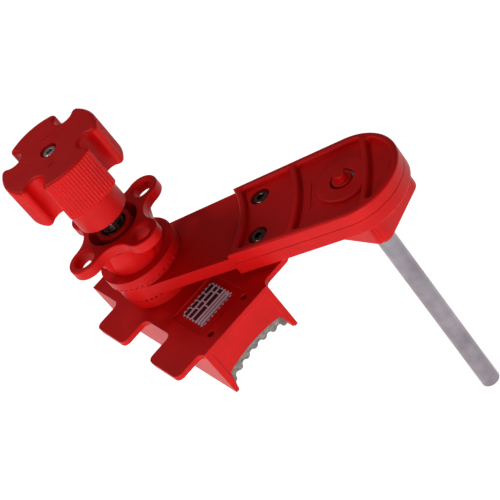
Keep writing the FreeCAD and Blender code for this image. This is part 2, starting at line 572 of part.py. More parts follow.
def knob():
    """A four-lobed knob on a hollow skirt. The grooves between the lobes take padlock shackles."""
    lobes = int(dim("lobe_count"))
    ribs = int(dim("rib_count"))
    z_head = ("Dim.knob_bottom - 1", "Dim.knob_top + 1")
    head = cylinder("knob_head", "Dim.knob_radius", ("Dim.knob_bottom", "Dim.knob_top"))
    groove_floor = cylinder("groove_floor", "Dim.groove_half", z_head, "Dim.groove_place")
    groove_mouth = box("groove_mouth", ("Dim.groove_place", "Dim.knob_radius + 1"),
                       ("0 - Dim.groove_half", "Dim.groove_half"), z_head)
    groove = fuse("groove_one", groove_floor, groove_mouth)
    lobed = cut("knob_lobes", head, ring_copies("grooves", groove, lobes))
    edge_radius = dim("knob_radius")
    rounded = round_edges("knob_lobes_rounded", lobed, "Dim.lobe_round",
                          lambda e: is_upright(e) and math.hypot(e.CenterOfMass.x,
                                                                 e.CenterOfMass.y) > edge_radius - 1)
    rims = round_edges("knob_rims_rounded", rounded, "Dim.top_round",
                       lambda e: abs(e.CenterOfMass.z - dim("knob_top")) < 0.01
                       or abs(e.CenterOfMass.z - dim("knob_bottom")) < 0.01)
    rib_groove = cylinder("rib_groove_one", "Dim.rib_radius", z_head, "Dim.rib_place")
    sets = []
    for lobe in range(lobes):
        middle = 360 / lobes * (lobe + 0.5)
        first = middle - (ribs - 1) / 2 * dim("rib_step")
        sets.append(ring_copies("rib_grooves_%d" % lobe, rib_groove, ribs, start=first,
                                step=dim("rib_step")))
    skirt = cylinder("skirt", "Dim.skirt_radius", ("Dim.skirt_bottom", "Dim.knob_bottom + 1"))
    arrows = [curved_arrow("back_arrow", "Dim.knob_arrow_radius", "Dim.back_arrow_end",
                           "Dim.back_arrow_start", "Dim.knob_top"),
              curved_arrow("front_arrow", "Dim.knob_arrow_radius", "Dim.front_arrow_start",
                           "Dim.front_arrow_end", "Dim.knob_top")]
    whole = fuse("knob_solid", cut("knob_head_ribbed", rims, *sets), skirt, *arrows)
    skirt_bore = cylinder("skirt_hole", "Dim.skirt_bore", ("Dim.skirt_bottom - 1", "Dim.skirt_roof"))
    spindle_hole = cylinder("knob_spindle_hole", "Dim.spindle_radius + 0.02",
                            ("Dim.skirt_roof - 1", "Dim.spindle_top + 0.1"))
    screw_hole = cylinder("knob_screw_hole", "Dim.knob_screw_hole",
                          ("Dim.spindle_top", "Dim.counterbore_floor + 1"))
    top_hole = cylinder("knob_top_hole", "Dim.counterbore", ("Dim.counterbore_floor", "Dim.knob_top + 1"))
    keep(cut("knob_shape", whole, skirt_bore, spindle_hole, screw_hole, top_hole), "knob",
         angle="Dim.knob_turn")


def knob_screw():
    """The screw down the middle of the knob that pulls it on to the spindle."""
    head = cylinder("knob_screw_head", "Dim.knob_screw_head",
                    ("Dim.counterbore_floor", "Dim.knob_screw_top"))
    shank = cylinder("knob_screw_shank", "Dim.knob_screw_radius",
                     ("Dim.spindle_top - Dim.tap_deep + 0.5", "Dim.counterbore_floor + 0.5"))
    socket = cylinder("knob_screw_socket", "Dim.knob_screw_socket",
                      ("Dim.knob_screw_top - Dim.knob_screw_socket_deep", "Dim.knob_screw_top + 1"))
    keep(cut("knob_screw_shape", fuse("knob_screw_solid", head, shank), socket), "knob_screw")


def ear_star(name, z_range):
    """A flat star of four ears, whose round ends run smoothly into the valleys between them."""
    across = "(Dim.valley_place * sqrt(0.5))"
    reach = "sqrt((%s - Dim.ear_place)^2 + %s^2)" % (across, across)
    touch_x = "(Dim.ear_place + Dim.ear_radius * (%s - Dim.ear_place) / %s)" % (across, reach)
    touch_y = "(Dim.ear_radius * %s / %s)" % (across, reach)
    corners = []
    for cosine, sine in ((1, 0), (0, 1), (-1, 0), (0, -1)):
        for side, bend in ((-1, ("0 - Dim.ear_radius", "wide")), (1, (reach + " - Dim.ear_radius",))):
            x = "%d * %s - %d * %s" % (cosine, touch_x, sine * side, touch_y)
            y = "%d * %s + %d * %s" % (sine, touch_x, cosine * side, touch_y)
            corners.append((x, y) + bend)
    body = doc.addObject("PartDesign::Body", name)
    sketch = outline(body, name + "_outline", "XY_Plane", corners, z_range[0])
    pad(body, sketch, "(%s) - (%s)" % (z_range[1], z_range[0]))
    return body


def locking_collar():
    """A threaded cup on a notched disc, with four ears whose holes take padlock shackles. The
    cup swells out under each ear."""
    disc = cylinder("collar_disc", "Dim.collar_radius", ("Dim.collar_bottom", "Dim.disc_top"))
    cup = cone("collar_cup", "Dim.cup_low_radius", "Dim.cup_high_radius", ("Dim.disc_top", "Dim.ear_bottom"))
    swell = cone("cup_swell_one", "Dim.swell_low", "Dim.swell_high", ("Dim.disc_top", "Dim.ear_bottom"),
                 "Dim.swell_place")
    z_ears = ("Dim.ear_bottom", "Dim.ear_top")
    star = ear_star("ear_star", z_ears)
    rounded = round_edges("ear_star_rounded", star, "Dim.ear_round",
                          lambda e: abs(e.CenterOfMass.z - dim("ear_top")) < 0.01
                          or abs(e.CenterOfMass.z - dim("ear_bottom")) < 0.01)
    solid = fuse("collar_solid", disc, cup, ring_copies("cup_swells", swell, 4), rounded)
    hole = cylinder("ear_hole_one", "Dim.ear_hole",
                    ("Dim.ear_bottom - Dim.ear_hole_run", "Dim.ear_top + 1"),
                    "Dim.ear_place")
    flare = cone("ear_flare_one", "Dim.ear_hole", "Dim.ear_hole + Dim.ear_chamfer",
                 ("Dim.ear_top - Dim.ear_chamfer", "Dim.ear_top"), "Dim.ear_place")
    bore = cylinder("cup_hole", "Dim.cup_bore", ("Dim.cup_floor", "Dim.ear_top + 1"))
    thread = cylinder("collar_hole", "Dim.collar_bore", ("Dim.collar_bottom - 1", "Dim.ear_top"))
    notches = seam_notches("collar_notches", "Dim.collar_radius", "Dim.collar_bottom")
    keep(cut("locking_collar_shape", solid, ring_copies("ear_holes", hole, 4),
             ring_copies("ear_flares", flare, 4), bore, thread, notches),
         "locking_collar", angle="Dim.ear_turn")


# Arm ------------------------------------------------------------------------------------------

def arm_lever():
    """The inner lever: a hub on the tube, a tapered slab, and a narrower tongue in the housing."""
    hub = cylinder("lever_hub", "Dim.hub_radius", ("Dim.hub_bottom", "Dim.hub_top"))
    z_slab = ("Dim.lever_bottom", "Dim.lever_top")
    z_past = ("0", "Dim.case_top")
    slab = hull("lever_slab", "Dim.lever_near_radius", "Dim.lever_end_radius", z_slab)
    near = cylinder("lever_near", "Dim.case_near - Dim.end_gap", z_past)
    rim = "(Dim.case_rim + Dim.case_gap)"
    tongue = hull("lever_tongue", "Dim.case_start_radius - %s" % rim,
                  "Dim.case_end_radius - %s" % rim, z_slab)
    far = cylinder("lever_far", "Dim.case_tongue - Dim.end_gap", z_past)
    solid = fuse("lever_solid", hub, common("lever_outside", slab, near),
                 common("lever_inside", tongue, far))
    holes = [cylinder("lever_bore", "Dim.hub_bore", ("0", "Dim.hub_top + 1"))]
    for side in (-1, 1):
        y = "%d * Dim.bolt_half" % side
        holes.append(cylinder("lever_bolt_%d" % (side + 1), "Dim.bolt_hole", z_past,
                              "Dim.bolt_place", y))
        holes.append(cylinder("lever_recess_%d" % (side + 1), "Dim.bolt_recess",
                              ("Dim.bolt_recess_floor", "Dim.case_top"), "Dim.bolt_place", y))
    keep(cut("arm_lever_shape", solid, *holes), "arm_lever", angle="Dim.arm_angle")


def rib_zone(name, near_radius, far_radius, z_range):
    """A ring round the hub's axis; the housing's ribs are arcs of such rings."""
    outer = cylinder(name + "_outer", far_radius, z_range)
    inner = cylinder(name + "_inner", near_radius, ("%s - 1" % z_range[0], "%s + 1" % z_range[1]))
    return cut(name, outer, inner)


def arm_housing():
    """The thick end of the arm: a tray round the lever, with ribbed pockets and the rod's pivot."""
    slab = hull("case_slab", "Dim.case_start_radius", "Dim.case_end_radius",
                ("Dim.case_bottom", "Dim.case_top"))
    solid = round_edges("case_solid", slab, "Dim.case_round",
                        lambda e: e.CenterOfMass.z < dim("case_bottom") + 0.01)
    near = cylinder("case_near_cut", "Dim.case_near", ("Dim.case_bottom - 1", "Dim.case_top + 1"))
    inner_near = "Dim.case_start_radius - Dim.case_rim"
    inner_far = "Dim.case_end_radius - Dim.case_rim"
    above = ("Dim.lever_top", "Dim.case_top + 1")
    pockets = []
    spans = (("first", "Dim.case_near + Dim.rib_wide", "Dim.second_rib"),
             ("second", "Dim.second_rib + Dim.rib_wide", "Dim.third_rib"),
             ("third", "Dim.third_rib + Dim.rib_wide", "Dim.arm_length + Dim.case_end_radius"))
    for name, low, high in spans:
        floor = hull(name + "_pocket_hull", inner_near, inner_far, above)
        pockets.append(common(name + "_pocket", floor, rib_zone(name + "_zone", low, high, above)))
    z_space = ("Dim.lever_space_bottom", "Dim.lever_top + 0.1")
    lever_space = common("lever_space",
                         hull("lever_space_hull", inner_near, inner_far, z_space),
                         cylinder("lever_space_far", "Dim.case_tongue", z_space))
    z_seam = ("Dim.seam_level", "Dim.seam_level + Dim.seam_wide")
    seam = cut("case_seam", hull("seam_outside", "Dim.case_start_radius + 1",
                                 "Dim.case_end_radius + 1", z_seam),
               hull("seam_inside", "Dim.case_start_radius - Dim.seam_deep",
                    "Dim.case_end_radius - Dim.seam_deep", z_seam))
    tray = cut("case_tray", solid, near, *pockets)
    pocket_depth = dim("case_top") - dim("lever_top")
    cornered = round_edges("case_cornered", tray, "Dim.corner_round",
                           lambda e: is_upright(e) and e.Length < pocket_depth + 0.01)
    softened = round_edges("case_softened", cornered, "Dim.rim_round",
                           lambda e: abs(e.CenterOfMass.z - dim("case_top")) < 0.01)
    shell = cut("case_shell", softened, lever_space, seam)
    ring = cylinder("ring_boss", "Dim.ring_radius", ("Dim.lever_top - 1", "Dim.ring_top"),
                    "Dim.pivot_place")
    ring_soft = round_edges("ring_boss_softened", ring, "Dim.ring_round",
                            lambda e: abs(e.CenterOfMass.z - dim("ring_top")) < 0.01)
    arrow = curved_arrow("case_arrow", "Dim.case_arrow_radius", "0 - Dim.case_arrow_half",
                         "Dim.case_arrow_half", "Dim.lever_top", both_ways=True)
    tools = [cylinder("ring_hole", "Dim.ring_bore", ("0", "Dim.case_top + 1"), "Dim.pivot_place"),
             cylinder("ring_step", "Dim.ring_counterbore", ("Dim.ring_shoulder", "Dim.case_top + 1"),
                      "Dim.pivot_place")]
    for side in (-1, 1):
        y = "%d * Dim.bolt_half" % side
        tools.append(cylinder("case_bolt_%d" % (side + 1), "Dim.bolt_hole",
                              ("0", "Dim.lever_bottom"), "Dim.bolt_place", y))
        tools.append(cylinder("case_nut_%d" % (side + 1), "Dim.nut_room",
                              ("0", "Dim.case_bottom + Dim.nut_high"), "Dim.bolt_place", y))
    keep(cut("arm_housing_shape", fuse("case_with_ring", shell, ring_soft, arrow), *tools), "arm_housing",
         angle="Dim.arm_angle")


def arm_fasteners():
    """The two domed bolts that clamp the lever to the housing, and their nuts underneath."""
    bolts = []
    nuts = []
    floor = "Dim.bolt_recess_floor"
    top = "Dim.bolt_recess_floor + Dim.bolt_head_high"
    for side in (-1, 1):
        y = "%d * Dim.bolt_half" % side
        name = "arm_bolt_%d" % (side + 1)
        head = cylinder(name + "_head", "Dim.bolt_head", (floor, top), "Dim.bolt_place", y)
        domed = round_edges(name + "_domed", head, "Dim.bolt_head_round",
                            lambda e: abs(e.CenterOfMass.z - value_of(top)) < 0.01)
        socket = cylinder(name + "_socket", "Dim.bolt_socket",
                          (top + " - Dim.bolt_socket_deep", top + " + 1"), "Dim.bolt_place", y)
        shank = cylinder(name + "_shank", "Dim.bolt_radius", ("Dim.case_bottom", floor + " + 0.1"),
                         "Dim.bolt_place", y)
        bolts.append(cut(name, fuse(name + "_solid", domed, shank), socket))
        nut = cylinder("arm_nut_%d" % (side + 1), "Dim.nut_radius",
                       ("Dim.case_bottom", "Dim.case_bottom + Dim.nut_high"), "Dim.bolt_place", y)
        hole = cylinder("arm_nut_hole_%d" % (side + 1), "Dim.bolt_radius",
                        ("0", "Dim.case_top"), "Dim.bolt_place", y)
        nuts.append(cut("arm_nut_ring_%d" % (side + 1), nut, hole))
    keep(fuse("arm_bolts_shape", *bolts), "arm_bolts", angle="Dim.arm_angle")
    keep(fuse("arm_nuts_shape", *nuts), "arm_nuts", angle="Dim.arm_angle")


def at_pivot(item, node):
    """Put a piece made round the Z axis at the arm's far pivot, turned to the carrier's angle."""
    keep(item, node, "Dim.pivot_place * cos(Dim.arm_angle * 1 deg)",
         "Dim.pivot_place * sin(Dim.arm_angle * 1 deg)", 0, "Dim.carrier_angle")


def rod_carrier():
    """A rounded four-sided block that turns under the arm's end, with the rod in its nose."""
    body = doc.addObject("PartDesign::Body", "carrier_block")
    corners = [("Dim.%s_x" % place, "Dim.%s_y" % place) for place in ("nose", "right", "tail", "left")]
    sketch = outline(body, "carrier_outline", "XY_Plane", corners, "Dim.carrier_bottom")
    pad(body, sketch, "Dim.carrier_top - Dim.carrier_bottom")
    rounded = round_edges("carrier_rounded", body, "Dim.carrier_round", is_upright)
    softened = round_edges("carrier_softened", rounded, "Dim.carrier_soft",
                           lambda e: abs(e.CenterOfMass.z - dim("carrier_bottom")) < 0.01)
    pivot = cylinder("carrier_pivot", "Dim.pivot_radius", ("Dim.carrier_top - 1", "Dim.pivot_top"))
    groove = rib_zone("pivot_groove", "Dim.pivot_groove", "Dim.pivot_radius + 1",
                      ("Dim.ring_shoulder + 0.1",
                       "Dim.ring_shoulder + Dim.snap_ring_lift + Dim.snap_ring_thick + 0.05"))
    button = cylinder("carrier_button", "Dim.button_radius", ("Dim.pivot_top - 1", "Dim.button_top"))
    domed = round_edges("carrier_button_domed", button, "Dim.button_round",
                        lambda e: abs(e.CenterOfMass.z - dim("button_top")) < 0.01)
    solid = fuse("carrier_solid", softened, cut("pivot_grooved", pivot, groove), domed)
    socket = cylinder("rod_socket", "Dim.rod_socket", ("Dim.carrier_bottom - 1", "Dim.rod_top"),
                      "Dim.rod_place")
    nose_groove = cylinder("nose_groove", "Dim.nose_groove",
                           ("Dim.carrier_bottom - 1", "Dim.carrier_top + 1"),
                           "Dim.nose_groove_x", "Dim.nose_groove_y")
    at_pivot(cut("rod_carrier_shape", solid, socket, nose_groove), "rod_carrier")


def blocking_rod():
    rod = cylinder("rod_bar", "Dim.rod_radius", ("Dim.rod_bottom", "Dim.rod_top"), "Dim.rod_place")
    doc.recompute()
    tip = doc.addObject("Part::Chamfer", "rod_tip")
    tip.Base = rod
    size = dim("rod_chamfer")
    tip.Edges = [(n, size, size) for n, edge in enumerate(rod.Shape.Edges, start=1)
                 if edge.Curve.TypeId == "Part::GeomCircle"]
    at_pivot(tip, "blocking_rod")


def carrier_clip():
    """The snap ring in the pivot's groove that keeps the carrier on the housing."""
    low = "Dim.ring_shoulder + Dim.snap_ring_lift"
    level = (low, low + " + Dim.snap_ring_thick")
    ring = rib_zone("carrier_clip_ring", "Dim.snap_ring_inner", "Dim.snap_ring_outer", level)
    mouth = box("carrier_clip_mouth", ("0 - Dim.snap_ring_mouth", "Dim.snap_ring_mouth"),
                ("0 - Dim.ring_counterbore", "0"),
                ("Dim.ring_shoulder", "Dim.ring_shoulder + 2"))
    at_pivot(cut("carrier_clip_shape", ring, mouth), "carrier_clip")


# Document -------------------------------------------------------------------------------------

def check_document():
    doc.recompute()
    for item in doc.Objects:
        if "Invalid" in item.State or "Error" in item.State:
            raise RuntimeError("failed object: %s %s" % (item.Name, item.State))
    for node, item in nodes.items():
        shape = item.Shape
        if shape.isNull() or not shape.isValid() or not shape.Solids:
            raise RuntimeError("bad shape: " + node)


def write_nodes():
    os.makedirs("parts", exist_ok=True)
    for node, item in nodes.items():
        item.Shape.exportStep("parts/%s.step" % node)
        extent = item.Shape.BoundBox
        print("%-18s solids %d volume %9.1f z %7.2f to %7.2f" % (
            node, len(item.Shape.Solids), item.Shape.Volume, extent.ZMin, extent.ZMax))


fill_sheet()
clamp_body()
label()
thread_insert()
moving_jaw()
fixed_jaw()
spindle()
knob()
knob_screw()
locking_collar()
arm_lever()
arm_housing()
arm_fasteners()
rod_carrier()
blocking_rod()
carrier_clip()
check_document()
write_nodes()
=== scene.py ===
# %% [markdown]
# # A clamp-on valve lockout with a blocking arm
# The real object is moulded in red nylon, with a few steel parts: a rod, a black screw spindle,
# toothed plates, bolts and a clip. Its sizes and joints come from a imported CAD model, which is
# loaded here as a fixed frame. Blender adds the finishes, the screw threads and sockets that the
# CAD model leaves plain, the light and the camera.

import json
import math

import bpy
from mathutils import Matrix, Vector


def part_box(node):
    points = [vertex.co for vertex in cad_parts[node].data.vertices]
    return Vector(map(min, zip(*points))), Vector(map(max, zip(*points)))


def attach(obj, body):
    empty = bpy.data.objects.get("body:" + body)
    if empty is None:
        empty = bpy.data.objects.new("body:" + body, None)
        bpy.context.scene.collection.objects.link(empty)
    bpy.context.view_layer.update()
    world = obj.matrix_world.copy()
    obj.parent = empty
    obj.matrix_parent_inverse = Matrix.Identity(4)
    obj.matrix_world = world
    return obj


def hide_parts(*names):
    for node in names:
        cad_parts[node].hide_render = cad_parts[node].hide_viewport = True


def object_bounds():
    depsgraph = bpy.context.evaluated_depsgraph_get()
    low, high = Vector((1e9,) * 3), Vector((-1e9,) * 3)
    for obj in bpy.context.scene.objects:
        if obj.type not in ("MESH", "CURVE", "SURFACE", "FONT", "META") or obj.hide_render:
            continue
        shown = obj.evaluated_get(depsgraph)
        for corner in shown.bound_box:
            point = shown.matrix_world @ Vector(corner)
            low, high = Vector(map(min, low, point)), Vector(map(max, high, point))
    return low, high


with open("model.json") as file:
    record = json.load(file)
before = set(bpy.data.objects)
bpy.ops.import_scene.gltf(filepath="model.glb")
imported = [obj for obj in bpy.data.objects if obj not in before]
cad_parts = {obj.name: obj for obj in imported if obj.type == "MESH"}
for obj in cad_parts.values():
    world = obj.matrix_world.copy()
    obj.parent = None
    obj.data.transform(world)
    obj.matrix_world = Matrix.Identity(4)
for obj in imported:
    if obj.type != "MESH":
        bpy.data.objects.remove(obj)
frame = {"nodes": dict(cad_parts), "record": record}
cad_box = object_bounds()
print("CAD box in mm:", [[round(v * 1000, 1) for v in corner] for corner in cad_box])

# %% [markdown]
# Every colour is written as the hex code that a colour picker shows, in sRGB. Shaders work with
# linear light, so one function turns the codes to linear values. One more function adds a node
# to a material, sets it and links it, which keeps each recipe short enough to read.

# %% Helpers for colours and nodes
MM = 0.001


def linear(code):
    values = [int(code[n:n + 2], 16) / 255 for n in (1, 3, 5)]
    light = [v / 12.92 if v <= 0.04045 else ((v + 0.055) / 1.055) ** 2.4 for v in values]
    return (*light, 1.0)


def add(tree, kind, inputs=None, **settings):
    """A node of that kind. An input given as a socket is linked, and any other is set."""
    node = tree.nodes.new(kind)
    for name, value in settings.items():
        setattr(node, name, value)
    for name, value in (inputs or {}).items():
        if isinstance(value, bpy.types.NodeSocket):
            tree.links.new(value, node.inputs[name])
        else:
            node.inputs[name].default_value = value
    return node


def new_material(name):
    material = bpy.data.materials.new(name)
    material.use_nodes = True
    tree = material.node_tree
    shader = tree.nodes["Principled BSDF"]
    place = add(tree, "ShaderNodeTexCoord").outputs["Object"]
    return material, tree, shader, place


def steps(tree, factor, stops, interpolation="LINEAR"):
    """A colour ramp from (position, hex code or grey value) stops."""
    ramp = add(tree, "ShaderNodeValToRGB", {"Fac": factor})
    ramp.color_ramp.interpolation = interpolation
    points = ramp.color_ramp.elements
    while len(points) < len(stops):
        points.new(0.5)
    for point, (position, colour) in zip(points, stops):
        point.position = position
        point.color = linear(colour) if isinstance(colour, str) else (colour, colour, colour, 1)
    return ramp.outputs["Color"]


print("linear red of #c8191c:", [round(v, 3) for v in linear("#c8191c")])

# %% [markdown]
# ## Red nylon
# The body, jaws, collar, knob and arm are injection-moulded nylon 6 with a little glass fibre.
# Nylon's refractive index is about 1.53, but its eroded skin scatters much of the shine, so the
# specular level is a third of the usual one. The skin has a fine, even grain and a satin gloss,
# and glass fibres near it cloud the red a little. Corners of a moulding are never sharp: a Bevel
# node bends the normals near each edge, as a small radius does, and the same node tells where
# the edges are, because there its normal differs from the face's. Those edges are painted a
# paler red, a painted highlight for the light that a rounded rim catches. The knob and the arm's
# housing have rounded rims and fine raised arrows in the CAD model itself, so their Bevel radius
# is smaller. The grain of a real mould is about 0.2 mm; it is drawn at 0.5 mm, which is as fine as the
# picture can show.

# %% Red moulded nylon
EDGE_RADIUS = 0.7 * MM
DETAIL_RADIUS = 0.25 * MM
GRAIN = 0.5 * MM
CLOUDS = 14 * MM


def moulded_nylon(name, deep, plain, edge_highlight, edge_radius):
    material, tree, shader, place = new_material(name)
    clouds = add(tree, "ShaderNodeTexNoise", {"Vector": place, "Scale": 1 / CLOUDS, "Detail": 3.0})
    skin = steps(tree, clouds.outputs["Fac"], [(0.35, deep), (0.65, plain)])
    soft = add(tree, "ShaderNodeBevel", {"Radius": edge_radius}, samples=6)
    face = add(tree, "ShaderNodeNewGeometry").outputs["Normal"]
    same = add(tree, "ShaderNodeVectorMath", {0: soft.outputs["Normal"], 1: face},
               operation="DOT_PRODUCT")
    # A mask for the edges, where the red is mixed towards a paler red as a painted highlight on rounded
    # rims.
    edge = steps(tree, same.outputs["Value"], [(0.80, 0.45), (0.985, 0.0)])
    colour = add(tree, "ShaderNodeMix", {"Factor": edge, "A": skin, "B": linear(edge_highlight)},
                 data_type="RGBA")
    grain = add(tree, "ShaderNodeTexNoise", {"Vector": place, "Scale": 1 / GRAIN, "Detail": 2.0})
    gloss = steps(tree, grain.outputs["Fac"], [(0.3, 0.40), (0.7, 0.50)])
    bump = add(tree, "ShaderNodeBump", {"Height": grain.outputs["Fac"], "Normal": soft.outputs["Normal"],
                                        "Distance": 0.03 * MM, "Strength": 0.35})
    tree.links.new(colour.outputs["Result"], shader.inputs["Base Color"])
    tree.links.new(gloss, shader.inputs["Roughness"])
    tree.links.new(bump.outputs["Normal"], shader.inputs["Normal"])
    shader.inputs["IOR"].default_value = 1.53
    shader.inputs["Specular IOR Level"].default_value = 0.15
    return material


# The third colour of each finish is the paler red painted along edges: a painted highlight, not wear.
red_nylon = moulded_nylon("red moulded nylon", "#c40608", "#cf0a09", "#e02a24", EDGE_RADIUS)
detail_nylon = moulded_nylon("red moulded nylon, fine detail", "#c40608", "#cf0a09", "#e2302a",
                             DETAIL_RADIUS)
print("nylon grain:", GRAIN / MM, "mm; edge radius:", EDGE_RADIUS / MM, "mm")

# %% [markdown]
# ## Steels
# The rod is bright drawn bar, ground round: the grinding wheel leaves hair-fine rings, drawn
# here as noise squeezed along the bar and stretched across it. The toothed plates are stamped
# from sheet and zinc plated, which gives a duller skin with pale and dark patches a few
# millimetres wide. The screws are plated the same way but smoother. The spindle and the arm's
# bolts are blackened and oiled: a dark, thin oxide over steel, so still a metal, with a soft
# shine.

# %% Ground, plated and blackened steel
RING_SPACING = 0.35 * MM
RING_STRETCH = 40 * MM
ROD_CLOUDS = 9 * MM
PATCHES = 2.2 * MM
STEEL_EDGE = 0.25 * MM


def ground_steel(name, dark, pale):
    material, tree, shader, place = new_material(name)
    squeezed = add(tree, "ShaderNodeMapping", {"Vector": place, "Scale": (1 / RING_STRETCH, 1 / RING_STRETCH,
                                                                               1 / RING_SPACING)})
    rings = add(tree, "ShaderNodeTexNoise", {"Vector": squeezed.outputs["Vector"], "Scale": 1.0,
                                             "Detail": 3.0})
    clouds = add(tree, "ShaderNodeTexNoise", {"Vector": place, "Scale": 1 / ROD_CLOUDS, "Detail": 4.0})
    tone = steps(tree, clouds.outputs["Fac"], [(0.3, dark), (0.7, pale)])
    gloss = steps(tree, rings.outputs["Fac"], [(0.3, 0.24), (0.7, 0.36)])
    bump = add(tree, "ShaderNodeBump", {"Height": rings.outputs["Fac"], "Distance": 0.02 * MM,
                                        "Strength": 0.3})
    tree.links.new(tone, shader.inputs["Base Color"])
    tree.links.new(gloss, shader.inputs["Roughness"])
    tree.links.new(bump.outputs["Normal"], shader.inputs["Normal"])
    shader.inputs["Metallic"].default_value = 1.0
    return material


def plated_steel(name, dark, pale, low_gloss, high_gloss):
    material, tree, shader, place = new_material(name)
    spangle = add(tree, "ShaderNodeTexNoise", {"Vector": place, "Scale": 1 / PATCHES, "Detail": 5.0,
                                               "Roughness": 0.65})
    tone = steps(tree, spangle.outputs["Fac"], [(0.35, dark), (0.65, pale)])
    gloss = steps(tree, spangle.outputs["Fac"], [(0.3, high_gloss), (0.7, low_gloss)])
    soft = add(tree, "ShaderNodeBevel", {"Radius": STEEL_EDGE}, samples=4)
    bump = add(tree, "ShaderNodeBump", {"Height": spangle.outputs["Fac"], "Normal": soft.outputs["Normal"],
                                        "Distance": 0.05 * MM, "Strength": 0.4})
    tree.links.new(tone, shader.inputs["Base Color"])
    tree.links.new(gloss, shader.inputs["Roughness"])
    tree.links.new(bump.outputs["Normal"], shader.inputs["Normal"])
    shader.inputs["Metallic"].default_value = 1.0
    return material


rod_steel = ground_steel("ground steel bar", "#857f86", "#9a949b")
stamped_zinc = plated_steel("stamped zinc-plated steel", "#6c6763", "#99938e", 0.42, 0.6)
bright_zinc = plated_steel("bright zinc-plated steel", "#9a9898", "#c9c7c6", 0.25, 0.38)
black_oxide = plated_steel("black-oxide steel", "#4a3835", "#7a645d", 0.15, 0.26)
print("steels:", rod_steel.name, stamped_zinc.name, bright_zinc.name, black_oxide.name, sep=", ")

# %% [markdown]
# ## Label
# The label is a strip of polypropylene film, printed in black on a pale lilac ground. Its rows
# run across the base: two heavy rows of short bars, a thicker row, and three thin rules. Each
# row is a pair of colour ramps with sharp steps, one along X for the row and one along Y for
# its bars, multiplied together. The ground ends in a zigzag with a narrow red border outside
# it: a ping-pong of the distance along a side, taken from the distance to that side, falls
# below the border's width in the border only. All of it is measured from the label's own box.
# Each entry of the list is where a row starts and ends, then where its bars do, as shares of
# the label's length and width.

# %% Printed label film
label_low, label_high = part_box("label")


def across(tree, value, low, high):
    """The value's share of the way from low to high."""
    share = add(tree, "ShaderNodeMapRange", {"Value": value, "From Min": low, "From Max": high})
    return share.outputs["Result"]


def window(tree, share, spans):
    """One inside any of the spans of the share, and nothing outside them."""
    stops = [(0.0, 0.0)]
    for low, high in spans:
        stops += [(low, 1.0), (high, 0.0)]
    return steps(tree, share, stops, "CONSTANT")


ZIGZAG = 1.3 * MM
BORDER = 0.2 * MM
CREASES = 6 * MM
LABEL_ROWS = [(0.08, 0.20, ((0.06, 0.24), (0.27, 0.45), (0.48, 0.66), (0.69, 0.93))),
              (0.27, 0.39, ((0.06, 0.30), (0.33, 0.50), (0.53, 0.78), (0.81, 0.93))),
              (0.46, 0.60, ((0.06, 0.44), (0.47, 0.80), (0.83, 0.93))),
              (0.68, 0.71, ((0.06, 0.93),)),
              (0.79, 0.82, ((0.06, 0.88),)),
              (0.90, 0.93, ((0.06, 0.93),))]


def zigzag_margin(tree, share, other, length, other_length):
    """How far a point is, in metres, from the nearer end of one side, less a zigzag along it."""
    centre = add(tree, "ShaderNodeMath", {0: share, 1: 0.5}, operation="SUBTRACT")
    off_centre = add(tree, "ShaderNodeMath", {0: centre.outputs["Value"]}, operation="ABSOLUTE")
    inside = add(tree, "ShaderNodeMath", {0: 0.5, 1: off_centre.outputs["Value"]}, operation="SUBTRACT")
    depth = add(tree, "ShaderNodeMath", {0: inside.outputs["Value"], 1: length}, operation="MULTIPLY")
    run = add(tree, "ShaderNodeMath", {0: other, 1: other_length}, operation="MULTIPLY")
    tooth = add(tree, "ShaderNodeMath", {0: run.outputs["Value"], 1: ZIGZAG}, operation="PINGPONG")
    left = add(tree, "ShaderNodeMath", {0: depth.outputs["Value"], 1: tooth.outputs["Value"]},
               operation="SUBTRACT")
    return left.outputs["Value"]


def printed_film(name, ground, ink, border):
    material, tree, shader, place = new_material(name)
    parts = add(tree, "ShaderNodeSeparateXYZ", {"Vector": place})
    along = across(tree, parts.outputs["X"], label_low.x, label_high.x)
    side = across(tree, parts.outputs["Y"], label_low.y, label_high.y)
    printed = 0.0
    for low, high, words in LABEL_ROWS:
        row = window(tree, along, [(low, high)])
        bar = add(tree, "ShaderNodeMath", {0: row, 1: window(tree, side, words)}, operation="MULTIPLY")
        printed = add(tree, "ShaderNodeMath", {0: bar.outputs["Value"], 1: printed},
                      operation="ADD").outputs["Value"]
    words_on_film = add(tree, "ShaderNodeMix",
                        {"Factor": printed, "A": linear(ground), "B": linear(ink)}, data_type="RGBA")
    wide = label_high - label_low
    margins = [zigzag_margin(tree, along, side, wide.x, wide.y),
               zigzag_margin(tree, side, along, wide.y, wide.x)]
    nearest = add(tree, "ShaderNodeMath", {0: margins[0], 1: margins[1]}, operation="MINIMUM")
    outside = add(tree, "ShaderNodeMath", {0: nearest.outputs["Value"], 1: BORDER}, operation="LESS_THAN")
    colour = add(tree, "ShaderNodeMix", {"Factor": outside.outputs["Value"],
                                         "A": words_on_film.outputs["Result"], "B": linear(border)},
                 data_type="RGBA")
    creases = add(tree, "ShaderNodeTexNoise", {"Vector": place, "Scale": 1 / CREASES})
    bump = add(tree, "ShaderNodeBump", {"Height": creases.outputs["Fac"], "Distance": 0.1 * MM,
                                        "Strength": 0.2})
    tree.links.new(colour.outputs["Result"], shader.inputs["Base Color"])
    tree.links.new(bump.outputs["Normal"], shader.inputs["Normal"])
    shader.inputs["Roughness"].default_value = 0.4
    shader.inputs["IOR"].default_value = 1.49
    return material


label_film = printed_film("printed polypropylene film", "#d8cbd8", "#171214", "#b80d10")
print("label:", [round(v / MM, 1) for v in label_high - label_low], "mm")

# %% [markdown]
# ## Giving the CAD parts their finishes
# The record names a material slot for each CAD part. The rod is the only ground bar, and the
# knob and the housing carry fine detail, so those three have a finish of their own.

